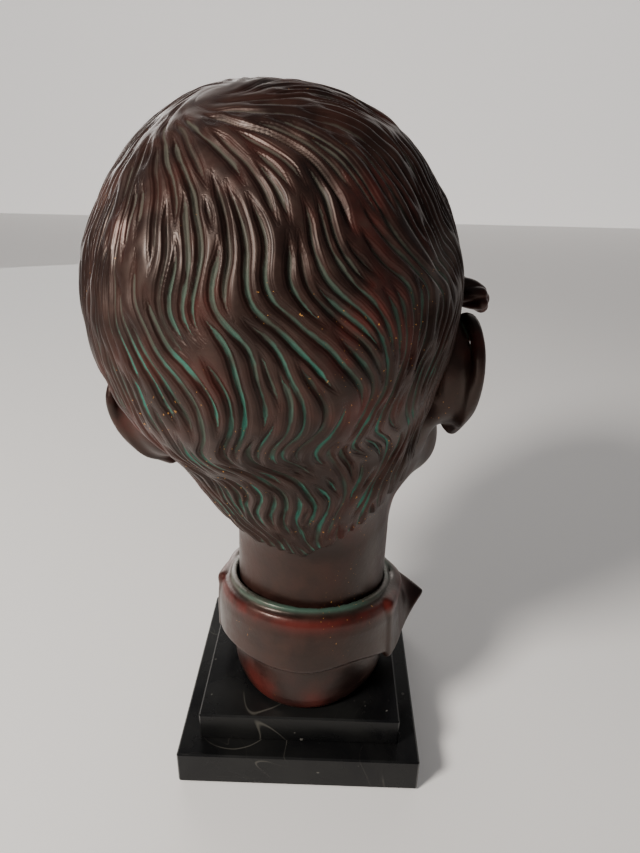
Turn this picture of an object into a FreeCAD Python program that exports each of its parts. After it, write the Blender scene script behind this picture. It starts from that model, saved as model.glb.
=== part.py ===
import FreeCAD, Part
import os
from math import cos, pi, radians, sin
from FreeCAD import Placement, Rotation, Vector

# A life-size hollow-cast bronze head with an open shirt collar, held by one central stud to a
# stepped plinth of two marble slabs. Millimetres, +Z up, the face looks along -Y, and the
# origin is the centre of the underside. The head's left is +X.

# Plinth, from the table up
FELT_SIDE = 112.0
FELT_THICK = 1.0
FELT_CORNER_R = 4.0
LOWER_SIDE = 120.0
LOWER_TOP = 20.0
UPPER_SIDE = 100.0
UPPER_TOP = 36.0
SLAB_CHAMFER = 0.8
DOWEL_R = 3.0
DOWEL_HOLE_R = 3.05
DOWEL_LENGTH = 16.0
DOWEL_OFFSET = 34.0
GASKET_THICK = 0.8
GASKET_R = 33.0
GASKET_BORE_R = 6.0

# Stud and its fasteners
STUD_R = 4.0
STUD_BORE_R = 4.5
STUD_FOOT = 2.2
STUD_TOP = 58.0
STUD_CHAMFER = 0.8
STUD_GROOVE_DEPTH = 0.6
STUD_GROOVE_WIDTH = 1.5
COUNTERBORE_R = 14.0
COUNTERBORE_TOP = 13.0
WASHER_R = 12.0
WASHER_THICK = 1.6
SPRING_WASHER_R = 7.2
SPRING_WASHER_THICK = 2.0
SPRING_WASHER_SPLIT = 1.2
SPRING_WASHER_TURN = 30.0
NUT_FLATS = 13.0
NUT_HEIGHT = 6.5
NUT_EASING = 0.4
HARDWARE_BORE_R = 4.2

# Mounting plate inside the bust's foot, on three cast lugs
FOOT_Z = UPPER_TOP + GASKET_THICK
PLATE_R = 28.5
PLATE_BOTTOM = FOOT_Z + 6.0
PLATE_THICK = 4.0
PLATE_TOP = PLATE_BOTTOM + PLATE_THICK
LUG_COUNT = 3
LUG_RADIUS = 24.0
LUG_WIDTH = 12.0
LUG_LENGTH = 26.0
LUG_INSIDE = 6.0
LUG_TOP = PLATE_TOP + 12.0
SCREW_R = 2.0
SCREW_HOLE_R = 2.1
SCREW_LENGTH = 12.0
SCREW_HOLE_DEPTH = 9.0
SCREW_HEAD_R = 4.0
SCREW_HEAD_HEIGHT = 2.4
SCREW_HEAD_ROUNDING = 1.0
SCREW_SLOT_WIDTH = 1.0
SCREW_SLOT_DEPTH = 1.2

# Half the size of the blocks that trim the bust, which is more than its own reach
REACH = 80.0

# Neck and foot: upright ovals, each given by half-width and half-depth, turned a little to the
# head's right about the neck's own upright axis
WALL = 5.0
NECK_X = -3.5
NECK_Y = 1.5
COLLAR_TURN = -12.0
NECK_OVAL = (37.6, 42.6)
NECK_BOTTOM = 64.0
NECK_TOP = 165.0
SOCKET_GAP = 0.3
DEEPER = NECK_OVAL[1] - NECK_OVAL[0]
FOOT_PROFILE = ((FOOT_Z, 37.6), (44.0, 39.8), (52.0, 40.6), (62.0, 41.4), (106.0, 41.4))
CAVITY_PROFILE = ((FOOT_Z, 32.6), (44.0, 34.8), (NECK_BOTTOM, 36.0))

# Shirt collar: its rim slopes down to the front, and its leaf hangs lower at the sides
RIM_SLOPE = 0.225
RIM_HEIGHT = 91.5
LEAF_PROFILE = ((40.0, 48.4), (68.0, 47.6), (84.0, 45.8), (87.5, 44.2), (89.5, 41.5))
LEAF_FRONT = -4.0
HEM_SIDE = 55.0
HEM_BACK = 69.5
HEM_BACK_Y = 46.0
WING_THICK = 4.0
WING_TOP = ((42.6, 16.0, 88.6), (43.2, 2.0, 85.6), (41.0, -18.0, 83.5), (15.0, -45.5, 80.5))
WING_HEM = ((44.4, 18.0, 60.0), (46.6, 4.0, 57.0), (50.5, -14.0, 57.5), (56.5, -32.0, 62.5))
OPENING_FOOT = 66.0
OPENING_SPREAD = 0.86
OPENING_BACK = -26.0
OPENING_HEIGHT = 50.0
PLACKET_WIDTH = 14.0
PLACKET_PROUD = 1.1
BUTTON_R = 4.6
BUTTON_THICK = 3.0
BUTTON_Z = 54.0

# Head: an upright egg about its own centre, then turned, tilted and nodded into place
HEAD_CENTRE = Vector(8.8, -16.0, 225.5)
HEAD_TILT = 11.0
HEAD_TURN = -8.0
HEAD_NOD = -2.0
SKULL_RADII = (71.0, 88.0, 76.0)
SKULL_CENTRE = (1.0, 8.0, 11.0)
HAIR_RADII = (80.5, 97.5, 85.5)
LOW_HAIR_RADII = (57.0, 49.0, 49.0)
LOW_HAIR_CENTRE = (5.0, 22.0, -46.0)
HAIRLINE_FRONT = (-96.0, 66.0)
HAIRLINE_NAPE = (58.0, -100.0)
FACE_HOLLOW_RADII = (45.0, 50.0, 40.0)
FACE_HOLLOW_CENTRE = (0.0, -24.0, -62.0)
# Level ovals, each (height, half-width, front, back)
FACE_OVALS = ((20.0, 70.0, -86.0, 90.0), (-10.0, 69.0, -84.0, 84.0), (-40.0, 65.0, -82.0, 62.0),
              (-70.0, 57.0, -81.0, 34.0), (-96.0, 44.0, -80.0, 6.0), (-113.0, 24.0, -76.0, -34.0))
NOSE_OVALS = ((0.0, 7.0, -89.0, -60.0), (-28.0, 9.0, -99.0, -60.0), (-46.0, 15.0, -107.0, -60.0),
              (-56.0, 13.0, -100.0, -60.0))
# Ellipsoids, each (radii, centre); the lid and the brow are those of the head's left
UPPER_LIP = ((22, 9, 5), (0, -77, -73))
LOWER_LIP = ((19, 10, 6), (0, -75, -82))
CHIN = ((22, 16, 17), (0, -67, -101))
EYELID = ((15, 13, 10), (31, -66, -15))
BROW = ((24, 16, 9), (27, -69, 6))
EAR_RADII = (6.0, 18.0, 29.0)
EAR_HOLLOW_RADII = (5.0, 11.0, 17.0)
EAR_HOLLOW_Y = -1.0
EAR_HOLLOW_Z = 4.0
EAR_SPLAY = 28.0
EAR_Y = 14.0
EAR_Z = -36.0
LEFT_EAR_X = 82.0
RIGHT_EAR_X = -77.0
LOCK_RADII = (14.0, 7.5, 7.5)
LOCK_CENTRE = (-80.0, -10.0, -6.0)
LOCK_DROOP = 24.0


def box(size_x, size_y, size_z, x, y, z):
    """A box centred on x and y that stands on z."""
    return Part.makeBox(size_x, size_y, size_z, Vector(x - size_x / 2, y - size_y / 2, z))


def rod(radius, bottom, top, x=0.0, y=0.0):
    """An upright cylinder between two heights."""
    return Part.makeCylinder(radius, top - bottom, Vector(x, y, bottom))


def ellipsoid(radii, centre):
    """A ball stretched to three radii."""
    stretch = FreeCAD.Matrix()
    stretch.scale(Vector(*radii))
    ball = Part.makeSphere(1.0).transformGeometry(stretch)
    ball.translate(Vector(*centre))
    return ball


def oval_wire(half_width, half_depth, x, y, z):
    """A level oval outline about x and y."""
    if half_width >= half_depth:
        curve = Part.Ellipse(Vector(x, y, z), half_width, half_depth)
    else:
        curve = Part.Ellipse(Vector(x, y + half_depth, z), Vector(x - half_width, y, z), Vector(x, y, z))
    return Part.Wire(curve.toShape())


def oval_loft(sections):
    """A solid through level ovals, each (z, half_width, front_y, back_y)."""
    wires = [oval_wire(w, (back - front) / 2, 0.0, (front + back) / 2, z)
             for z, w, front, back in sections]
    return Part.makeLoft(wires, True, False)


def profile_loft(profile):
    """A solid of level ovals about an upright axis, from (height, half-width) pairs."""
    return oval_loft([(z, width, -width - DEEPER, width + DEEPER) for z, width in profile])


def upright_oval(oval, bottom, top, grow=0.0):
    """A straight column of oval section."""
    face = Part.Face(oval_wire(oval[0] + grow, oval[1] + grow, 0.0, 0.0, bottom))
    return face.extrude(Vector(0, 0, top - bottom))


def to_neck(shape):
    """Turns a shape built about the z axis and sets it on the neck's axis."""
    shape.rotate(Vector(0, 0, 0), Vector(0, 0, 1), COLLAR_TURN)
    shape.translate(Vector(NECK_X, NECK_Y, 0))
    return shape


def side_prism(outline, half_width):
    """A prism across the collar from (y, z) points."""
    points = [Vector(-half_width, y, z) for y, z in outline]
    return Part.Face(Part.makePolygon(points + points[:1])).extrude(Vector(2 * half_width, 0, 0))


def hexagon_nut(bottom):
    """A hexagon nut with its corners turned back, bored for the stud."""
    corner = NUT_FLATS / 2 / cos(radians(30))
    points = [Vector(corner * cos(k * pi / 3), corner * sin(k * pi / 3), bottom) for k in range(7)]
    nut = Part.Face(Part.makePolygon(points)).extrude(Vector(0, 0, NUT_HEIGHT))
    below = NUT_HEIGHT * 0.2 + NUT_EASING
    cone_height = NUT_HEIGHT + below
    rounding = Part.makeCone(corner - NUT_EASING + cone_height, corner - NUT_EASING, cone_height,
                             Vector(0, 0, bottom - below))
    rounding_below = rounding.mirror(Vector(0, 0, bottom + NUT_HEIGHT / 2), Vector(0, 0, 1))
    return nut.common(rounding).common(rounding_below).cut(rod(HARDWARE_BORE_R, bottom, bottom + NUT_HEIGHT))


def ring(outer, inner, bottom, thick):
    return rod(outer, bottom, bottom + thick).cut(rod(inner, bottom, bottom + thick))


def slab(side, bottom, top):
    """A square marble slab with its edges eased and its stud bore."""
    body = box(side, side, top - bottom, 0, 0, bottom)
    body = body.makeChamfer(SLAB_CHAMFER, body.Edges)
    return body.cut(rod(STUD_BORE_R, bottom, top))


def dowel_places():
    return [(DOWEL_OFFSET, -DOWEL_OFFSET), (-DOWEL_OFFSET, DOWEL_OFFSET)]


def dowels(radius):
    """Two pins that cross the joint between the slabs."""
    bottom = LOWER_TOP - DOWEL_LENGTH / 2
    pins = []
    for x, y in dowel_places():
        pins.append(rod(radius, bottom, bottom + DOWEL_LENGTH, x, y))
    return Part.Compound(pins)


def lower_slab():
    body = slab(LOWER_SIDE, FELT_THICK, LOWER_TOP)
    body = body.cut(rod(COUNTERBORE_R, FELT_THICK, COUNTERBORE_TOP))
    return body.cut(dowels(DOWEL_HOLE_R))


def upper_slab():
    return slab(UPPER_SIDE, LOWER_TOP, UPPER_TOP).cut(dowels(DOWEL_HOLE_R))


def felt_sheet():
    sheet = box(FELT_SIDE, FELT_SIDE, FELT_THICK, 0, 0, 0)
    upright = [edge for edge in sheet.Edges if abs(edge.BoundBox.ZLength - FELT_THICK) < 1e-6]
    return sheet.makeFillet(FELT_CORNER_R, upright)


def threaded_stud():
    """The stud's rod, with its ends eased and a fine groove at each end of its threads."""
    stud = rod(STUD_R, STUD_FOOT, STUD_TOP)
    stud = stud.makeChamfer(STUD_CHAMFER, [stud.Edges[0], stud.Edges[2]])
    for groove_z in (COUNTERBORE_TOP + 2.0, PLATE_BOTTOM - 3.0):
        stud = stud.cut(ring(STUD_R + 1.0, STUD_R - STUD_GROOVE_DEPTH, groove_z, STUD_GROOVE_WIDTH))
    return stud


def spring_washer(bottom):
    """A split ring."""
    body = ring(SPRING_WASHER_R, HARDWARE_BORE_R, bottom, SPRING_WASHER_THICK)
    gap = box(SPRING_WASHER_SPLIT, SPRING_WASHER_R, SPRING_WASHER_THICK * 2, 0, SPRING_WASHER_R * 0.6,
              bottom - SPRING_WASHER_THICK / 2)
    gap.rotate(Vector(0, 0, bottom), Vector(0, 0, 1), SPRING_WASHER_TURN)
    return body.cut(gap)


def lug_angles():
    return [90.0 + 360.0 * k / LUG_COUNT for k in range(LUG_COUNT)]


def lug_place(angle):
    return LUG_RADIUS * cos(radians(angle)), LUG_RADIUS * sin(radians(angle))


def mounting_plate():
    """The steel disc that the stud pulls on."""
    plate = rod(PLATE_R, PLATE_BOTTOM, PLATE_TOP).cut(rod(HARDWARE_BORE_R, PLATE_BOTTOM, PLATE_TOP))
    for angle in lug_angles():
        x, y = lug_place(angle)
        plate = plate.cut(rod(SCREW_HOLE_R, PLATE_BOTTOM, PLATE_TOP, x, y))
    return plate


def plate_screws():
    """Slotted pan-head screws, driven up through the plate into the lugs."""
    screws = []
    for angle in lug_angles():
        x, y = lug_place(angle)
        head = rod(SCREW_HEAD_R, PLATE_BOTTOM - SCREW_HEAD_HEIGHT, PLATE_BOTTOM, x, y)
        head = head.makeFillet(SCREW_HEAD_ROUNDING, [head.Edges[2]])
        shank = rod(SCREW_R, PLATE_BOTTOM, PLATE_BOTTOM + SCREW_LENGTH, x, y)
        slot = box(SCREW_SLOT_WIDTH, SCREW_HEAD_R * 3, SCREW_SLOT_DEPTH, x, y,
                   PLATE_BOTTOM - SCREW_HEAD_HEIGHT)
        screws.append(head.fuse(shank).cut(slot))
    return Part.Compound(screws)


def collar_wing(side):
    """One pointed collar end: a ruled sheet between its top edge and its hem; side is +1 for left."""
    tops = [Vector(side * x, y, z) for x, y, z in WING_TOP]
    hems = [Vector(side * x, y, z) for x, y, z in WING_HEM]
    sections = []
    for k, (top, hem) in enumerate(zip(tops, hems)):
        before, after = max(k - 1, 0), min(k + 1, len(tops) - 1)
        along = tops[after] + hems[after] - tops[before] - hems[before]
        out = along.cross(hem - top).normalize() * (WING_THICK / 2)
        corners = [top - out, top + out, hem + out, hem - out]
        sections.append(Part.makePolygon(corners + corners[:1]))
    return Part.makeLoft(sections, True, True)


def collar_leaf():
    """The turned-down leaf, sloped with the rim and cut along its hem and at its front."""
    slope = FreeCAD.Matrix()
    slope.A32 = RIM_SLOPE
    leaf = profile_loft(LEAF_PROFILE).transformGeometry(slope)
    below_hem = side_prism([(REACH, HEM_BACK), (HEM_BACK_Y, HEM_BACK), (0.0, HEM_SIDE), (-REACH, HEM_SIDE),
                            (-REACH, 0.0), (REACH, 0.0)], REACH)
    return leaf.cut(below_hem).cut(box(2 * REACH, REACH, 2 * REACH, 0, LEAF_FRONT - REACH / 2, 0))


def front_opening():
    """The V between the collar ends."""
    top = OPENING_FOOT + OPENING_HEIGHT
    spread = OPENING_SPREAD * OPENING_HEIGHT
    foot = Vector(0, OPENING_BACK, OPENING_FOOT)
    left, right = Vector(spread, OPENING_BACK, top), Vector(-spread, OPENING_BACK, top)
    return Part.Face(Part.makePolygon([foot, left, right, foot])).extrude(Vector(0, -REACH, 0))


def placket():
    """The buttoned strip down the front of the shirt, with its one button."""
    grown = [(z, width + PLACKET_PROUD) for z, width in FOOT_PROFILE]
    strip = profile_loft(grown).common(box(PLACKET_WIDTH, 60, OPENING_FOOT - FOOT_Z, 0, -45, FOOT_Z))
    front = -(FOOT_PROFILE[2][1] + DEEPER + PLACKET_PROUD)
    button_back = Vector(0, front + BUTTON_THICK / 2, BUTTON_Z)
    button = Part.makeCylinder(BUTTON_R, BUTTON_THICK, button_back, Vector(0, -1, 0))
    return strip.fuse(button)


def collar_casting():
    """The foot and the shirt collar, hollow, with a socket for the neck and three lugs."""
    foot = profile_loft(FOOT_PROFILE)
    above_rim = side_prism([(-REACH, RIM_HEIGHT - RIM_SLOPE * REACH), (REACH, RIM_HEIGHT + RIM_SLOPE * REACH),
                            (REACH, 2 * REACH), (-REACH, 2 * REACH)], REACH)
    outside = foot.fuse(placket()).cut(above_rim)
    for shape in (collar_leaf(), collar_wing(-1), collar_wing(1)):
        outside = outside.fuse(shape)
    socket = upright_oval(NECK_OVAL, NECK_BOTTOM, 2 * REACH, SOCKET_GAP)
    outside = outside.cut(front_opening()).cut(profile_loft(CAVITY_PROFILE)).cut(socket)
    body = to_neck(outside)
    foot = to_neck(foot)
    for angle in lug_angles():
        x, y = lug_place(angle)
        lug_middle = LUG_RADIUS + LUG_LENGTH / 2 - LUG_INSIDE
        lug = box(LUG_WIDTH, LUG_LENGTH, LUG_TOP - PLATE_TOP, 0, lug_middle, PLATE_TOP)
        lug.rotate(Vector(0, 0, 0), Vector(0, 0, 1), angle - 90.0)
        screw_hole = rod(SCREW_R, PLATE_TOP, PLATE_TOP + SCREW_HOLE_DEPTH, x, y)
        body = body.fuse(lug.common(foot)).cut(screw_hole)
    return body


def skull_and_face():
    """Skull egg, face and jaw in the head's own frame, about its centre."""
    return ellipsoid(SKULL_RADII, SKULL_CENTRE).fuse(oval_loft(FACE_OVALS))


def lips_and_chin():
    return ellipsoid(*UPPER_LIP).fuse(ellipsoid(*LOWER_LIP)).fuse(ellipsoid(*CHIN))


def eye(side):
    """A closed lid over the eyeball, under the brow."""
    pieces = []
    for radii, (x, y, z) in (EYELID, BROW):
        pieces.append(ellipsoid(radii, (side * x, y, z)))
    return pieces[0].fuse(pieces[1])


def ear(x):
    """An oval shell with a hollow, standing away from the head at its rear edge."""
    side = 1 if x > 0 else -1
    hollow = ellipsoid(EAR_HOLLOW_RADII, (side * EAR_RADII[0], EAR_HOLLOW_Y, EAR_HOLLOW_Z))
    body = ellipsoid(EAR_RADII, (0, 0, 0)).cut(hollow)
    body.rotate(Vector(0, 0, 0), Vector(0, 0, 1), side * -EAR_SPLAY)
    body.translate(Vector(x, EAR_Y, EAR_Z))
    return body


def side_lock():
    """The rolled lock of hair that stands out above the right ear."""
    lock = ellipsoid(LOCK_RADII, (0, 0, 0))
    lock.rotate(Vector(0, 0, 0), Vector(0, 1, 0), -LOCK_DROOP)
    lock.translate(Vector(*LOCK_CENTRE))
    return lock


def hair(inset=0.0):
    """The mass of hair, cut along a slope from the forehead to the nape; inset makes it smaller."""
    mass = ellipsoid(tuple(radius - inset for radius in HAIR_RADII), SKULL_CENTRE)
    mass = mass.fuse(ellipsoid(tuple(radius - inset for radius in LOW_HAIR_RADII), LOW_HAIR_CENTRE))
    reach = 2 * REACH
    front_y, front_z = HAIRLINE_FRONT[0], HAIRLINE_FRONT[1] + 2 * inset
    nape_y, nape_z = HAIRLINE_NAPE[0], HAIRLINE_NAPE[1] + 2 * inset
    window = side_prism([(front_y, front_z), (nape_y, nape_z), (reach, -reach), (-reach, -reach),
                         (-reach, front_z)], reach)
    return mass.cut(window)


def head_placement():
    turn = (Rotation(Vector(0, 1, 0), HEAD_TILT) * Rotation(Vector(0, 0, 1), HEAD_TURN)
            * Rotation(Vector(1, 0, 0), HEAD_NOD))
    return Placement(HEAD_CENTRE, turn)


def head_casting():
    """Head and neck in one hollow casting, open at the foot of the neck."""
    outside = skull_and_face().fuse(hair())
    features = (oval_loft(NOSE_OVALS), lips_and_chin(), eye(-1), eye(1), ear(LEFT_EAR_X), ear(RIGHT_EAR_X),
                side_lock())
    for feature in features:
        outside = outside.fuse(feature)
    hollow = ellipsoid(tuple(radius - WALL for radius in SKULL_RADII), SKULL_CENTRE)
    hollow = hollow.fuse(ellipsoid(FACE_HOLLOW_RADII, FACE_HOLLOW_CENTRE)).fuse(hair(WALL + 1))
    for shape in (outside, hollow):
        shape.Placement = head_placement()
    neck = to_neck(upright_oval(NECK_OVAL, NECK_BOTTOM, NECK_TOP))
    neck_hollow = to_neck(upright_oval(NECK_OVAL, NECK_BOTTOM, NECK_TOP + WALL, -WALL))
    return outside.fuse(neck).cut(hollow.fuse(neck_hollow))


def build():
    washer_bottom = COUNTERBORE_TOP - WASHER_THICK
    spring_bottom = washer_bottom - SPRING_WASHER_THICK
    return {
        "felt_sheet": felt_sheet(),
        "lower_slab": lower_slab(),
        "upper_slab": upper_slab(),
        "slab_dowels": dowels(DOWEL_R),
        "base_gasket": ring(GASKET_R, GASKET_BORE_R, UPPER_TOP, GASKET_THICK),
        "plain_washer": ring(WASHER_R, HARDWARE_BORE_R, washer_bottom, WASHER_THICK),
        "spring_washer": spring_washer(spring_bottom),
        "lower_nut": hexagon_nut(spring_bottom - NUT_HEIGHT),
        "threaded_stud": threaded_stud(),
        "mounting_plate": mounting_plate(),
        "plate_screws": plate_screws(),
        "upper_nut": hexagon_nut(PLATE_TOP),
        "collar_casting": collar_casting(),
        "head_casting": head_casting(),
    }


def main():
    os.makedirs("parts", exist_ok=True)
    for name, shape in build().items():
        shape.exportStep("parts/" + name + ".step")
        size = shape.BoundBox
        print(name, "solids", len(shape.Solids), "valid", shape.isValid(), "volume", round(shape.Volume),
              "box", [round(v, 1) for v in (size.XMin, size.XMax, size.YMin, size.YMax, size.ZMin, size.ZMax)])


main()
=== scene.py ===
import math
import random

import bmesh
import bpy
import numpy as np
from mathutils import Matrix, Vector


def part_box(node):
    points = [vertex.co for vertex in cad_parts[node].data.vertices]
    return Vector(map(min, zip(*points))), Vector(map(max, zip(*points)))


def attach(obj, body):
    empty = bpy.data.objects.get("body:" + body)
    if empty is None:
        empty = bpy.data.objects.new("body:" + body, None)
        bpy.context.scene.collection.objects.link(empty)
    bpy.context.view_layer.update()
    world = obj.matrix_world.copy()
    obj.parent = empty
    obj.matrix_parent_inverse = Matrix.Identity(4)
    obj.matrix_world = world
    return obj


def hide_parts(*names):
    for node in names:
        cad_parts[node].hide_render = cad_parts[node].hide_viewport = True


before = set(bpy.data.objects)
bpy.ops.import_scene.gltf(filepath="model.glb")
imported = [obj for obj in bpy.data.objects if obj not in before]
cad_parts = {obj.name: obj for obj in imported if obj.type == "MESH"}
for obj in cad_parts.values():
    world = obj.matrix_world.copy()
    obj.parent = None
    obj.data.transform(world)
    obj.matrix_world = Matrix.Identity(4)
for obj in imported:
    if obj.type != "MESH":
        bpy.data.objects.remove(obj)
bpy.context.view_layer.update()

import openvdb
from mathutils import Matrix, Vector, kdtree, noise

# The bust is sculpted in millimetres and written to Blender in metres, in the frame of the CAD:
# +Z up, the face towards -Y, the head's left towards +X, the origin under the plinth.
MM = 0.001

# The head stands in its own frame, about the middle of the skull, and is then tilted to its
# left, turned to its right and nodded, as the head in the CAD is.
HEAD_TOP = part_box("head_casting")[1][2] / MM
TOP_ABOVE_CENTRE = 95.47
HEAD_CENTRE = np.array([8.8, -16.0, HEAD_TOP - TOP_ABOVE_CENTRE])
HEAD_TILT = 11.0
HEAD_TURN = -8.0
HEAD_NOD = -2.0

# Neck, foot and collar, from the table up
FOOT_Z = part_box("collar_casting")[0][2] / MM
BUST_X = -3.5
NECK_HALF_WIDTH = 37.6
NECK_HALF_DEPTH = 42.6
NECK_CENTRE_Y = 1.5
NECK_FOOT_Z = 63.0
# How far the neck leans to the head's right and forward over a rise of NECK_RISE, and how far
# below the middle of the head it ends
NECK_LEAN_RIGHT = -1.6
NECK_LEAN_FORWARD = 3.0
NECK_RISE = 100.0
NECK_ENDS_BELOW = 20.0
COLLAR_TURN = -12.0

# Hair: how far it stands off the scalp, and the grooves between its locks
HAIR_THICK = 8.4
GROOVE_DEPTH = 2.7
GROOVE_REACH = 2.8
FINE_GAP = 2.6
BROAD_GAP = 3.4
LEAST_GAP = 2.2
GROOVE_STRIDE = 1.5
LONGEST_RUN = 44
SHORTEST_RUN = 9
SHORTEST_GROOVE = 6
GROOVE_PAST_EDGE = 6.0
EDGE_BURIED = 5.0
SHELL_PAST_EDGE = 9.0

# Grain of the sculpted meshes
VOXEL = 0.85
COLLAR_VOXEL = 0.75
LOCK_VOXEL = 0.6
HAIR_CELLS = 225
GROOVE_SEEDS = 4500


# ---------------------------------------------------------------- frames and small helpers

def turn_matrix(axis, degrees):
    return np.array(Matrix.Rotation(math.radians(degrees), 3, axis))


NECK_TURN = turn_matrix("Z", COLLAR_TURN)
HEAD_TURNS = turn_matrix("Y", HEAD_TILT) @ turn_matrix("Z", HEAD_TURN) @ turn_matrix("X", HEAD_NOD)


def head_to_world(points):
    return points @ HEAD_TURNS.T + HEAD_CENTRE


def smooth_step(low, high, value):
    t = np.clip((value - low) / (high - low), 0.0, 1.0)
    return t * t * (3.0 - 2.0 * t)


def soft_min(a, b, k):
    h = np.maximum(k - np.abs(a - b), 0.0) / k
    return np.minimum(a, b) - h * h * k * 0.25


def soft_max(a, b, k):
    return -soft_min(-a, -b, k)


def new_mesh(name, points_mm, faces):
    """A Blender object from points in millimetres in the CAD's frame."""
    mesh = bpy.data.meshes.new(name)
    mesh.from_pydata((np.asarray(points_mm) * MM).tolist(), [], [list(map(int, f)) for f in faces])
    mesh.validate()
    mesh.update()
    obj = bpy.data.objects.new(name, mesh)
    bpy.context.scene.collection.objects.link(obj)
    mesh.polygons.foreach_set("use_smooth", [True] * len(mesh.polygons))
    return obj


def store(obj, name, values):
    """A number at each point, for the material."""
    layer = obj.data.attributes.new(name, "FLOAT", "POINT")
    layer.data.foreach_set("value", np.asarray(values, np.float32))


# ---------------------------------------------------------------- distance fields

def ellipsoid(centre, radii, turn=None):
    """Distance to an ellipsoid, near enough close to its surface."""
    def distance(x, y, z):
        x, y, z = x - centre[0], y - centre[1], z - centre[2]
        if turn is not None:
            x, y, z = (turn[0, k] * x + turn[1, k] * y + turn[2, k] * z for k in range(3))
        near = np.sqrt((x / radii[0]) ** 2 + (y / radii[1]) ** 2 + (z / radii[2]) ** 2) + 1e-6
        steep = (x / radii[0] ** 2) ** 2 + (y / radii[1] ** 2) ** 2 + (z / radii[2] ** 2) ** 2
        return near * (near - 1.0) / (np.sqrt(steep) + 1e-6)
    reach = max(radii) if turn is not None else None
    low = [centre[k] - (reach or radii[k]) for k in range(3)]
    high = [centre[k] + (reach or radii[k]) for k in range(3)]
    return distance, low, high


def rod(start, end, start_radius, end_radius):
    """Distance to a tapered round bar."""
    start, end = np.array(start, float), np.array(end, float)
    along = end - start
    square = float(along @ along)

    def distance(x, y, z):
        x, y, z = x - start[0], y - start[1], z - start[2]
        t = np.clip((x * along[0] + y * along[1] + z * along[2]) / square, 0.0, 1.0)
        apart = np.sqrt((x - t * along[0]) ** 2 + (y - t * along[1]) ** 2 + (z - t * along[2]) ** 2)
        return apart - (start_radius + t * (end_radius - start_radius))
    reach = max(start_radius, end_radius)
    return distance, list(np.minimum(start, end) - reach), list(np.maximum(start, end) + reach)


def smooth_path(points, radii, steps=6):
    """Points and radii along a smooth curve through a few given ones."""
    points, radii = np.array(points, float), np.array(radii, float)
    rows = np.column_stack([points, radii])
    padded = np.vstack([2 * rows[0] - rows[1], rows, 2 * rows[-1] - rows[-2]])
    out = []
    for k in range(1, len(padded) - 2):
        a, b, c, d = padded[k - 1:k + 3]
        for t in np.arange(steps) / steps:
            out.append(0.5 * (2 * b + (c - a) * t + (2 * a - 5 * b + 4 * c - d) * t ** 2
                              + (3 * b - a - 3 * c + d) * t ** 3))
    out.append(rows[-1])
    out = np.array(out)
    return out[:, :3], out[:, 3]


def worm(points, radii, steps=6):
    """Distance to a round bar that follows a smooth curve through the points."""
    path, thick = smooth_path(points, radii, steps)
    rods = [rod(path[k], path[k + 1], thick[k], thick[k + 1]) for k in range(len(path) - 1)]

    def distance(x, y, z):
        nearest = rods[0][0](x, y, z)
        for piece in rods[1:]:
            nearest = np.minimum(nearest, piece[0](x, y, z))
        return nearest
    return distance, list(path.min(0) - thick.max()), list(path.max(0) + thick.max())


class Clay:
    """A block of distances on a grid, to which shapes are added and from which they are cut."""

    def __init__(self, low, high, step):
        self.step = step
        self.axes = [np.arange(low[k], high[k] + step, step, dtype=np.float32) for k in range(3)]
        self.field = np.full([len(axis) for axis in self.axes], 60.0, np.float32)

    def window(self, low, high, margin):
        spans = []
        for k in range(3):
            first = int(np.searchsorted(self.axes[k], low[k] - margin))
            last = int(np.searchsorted(self.axes[k], high[k] + margin))
            spans.append(slice(first, max(first + 1, last)))
        x, y, z = (self.axes[k][spans[k]] for k in range(3))
        return tuple(spans), x[:, None, None], y[None, :, None], z[None, None, :]

    def everywhere(self):
        x, y, z = self.axes
        return x[:, None, None], y[None, :, None], z[None, None, :]

    def add(self, shape, soft=1.0):
        distance, low, high = shape
        spans, x, y, z = self.window(low, high, soft + 2 * self.step)
        self.field[spans] = soft_min(self.field[spans], distance(x, y, z), soft)

    def cut(self, shape, soft=1.0):
        distance, low, high = shape
        spans, x, y, z = self.window(low, high, soft + 2 * self.step)
        self.field[spans] = soft_max(self.field[spans], -distance(x, y, z), soft)

    def surface(self):
        """Points and outward faces of the surface, in the block's own frame."""
        grid = openvdb.FloatGrid()
        grid.background = 3.0
        grid.copyFromArray(np.clip(self.field, -3.0, 3.0), tolerance=0.0)
        points, quads = grid.convertToQuads(0.0)
        origin = np.array([axis[0] for axis in self.axes])
        return points * self.step + origin, quads


# ---------------------------------------------------------------- the head's large masses

def neck_distance(x, y, z):
    """The upright neck, measured in the head's frame."""
    wx = HEAD_TURNS[0, 0] * x + HEAD_TURNS[0, 1] * y + HEAD_TURNS[0, 2] * z + HEAD_CENTRE[0]
    wy = HEAD_TURNS[1, 0] * x + HEAD_TURNS[1, 1] * y + HEAD_TURNS[1, 2] * z + HEAD_CENTRE[1]
    wz = HEAD_TURNS[2, 0] * x + HEAD_TURNS[2, 1] * y + HEAD_TURNS[2, 2] * z + HEAD_CENTRE[2]
    lean = (wz - NECK_FOOT_Z) / NECK_RISE
    u, v = wx - BUST_X - NECK_LEAN_RIGHT * lean, wy - NECK_CENTRE_Y + NECK_LEAN_FORWARD * lean
    across = (NECK_TURN[0, 0] * u + NECK_TURN[1, 0] * v) / NECK_HALF_WIDTH
    deep = (NECK_TURN[0, 1] * u + NECK_TURN[1, 1] * v) / NECK_HALF_DEPTH
    side = (np.sqrt(across ** 2 + deep ** 2) - 1.0) * NECK_HALF_WIDTH
    return np.maximum(np.maximum(side, NECK_FOOT_Z - wz), wz - (HEAD_CENTRE[2] - NECK_ENDS_BELOW))


SKULL = ellipsoid((1, 8, 11), (72, 89, 77))
FOREHEAD = ellipsoid((0, -44, 22), (56, 43, 46))
FACE_MASS = ellipsoid((0, -27, -38), (57, 55, 72))
LOW_BACK = ellipsoid((0, 27, -50), (47, 47, 46))


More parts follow.
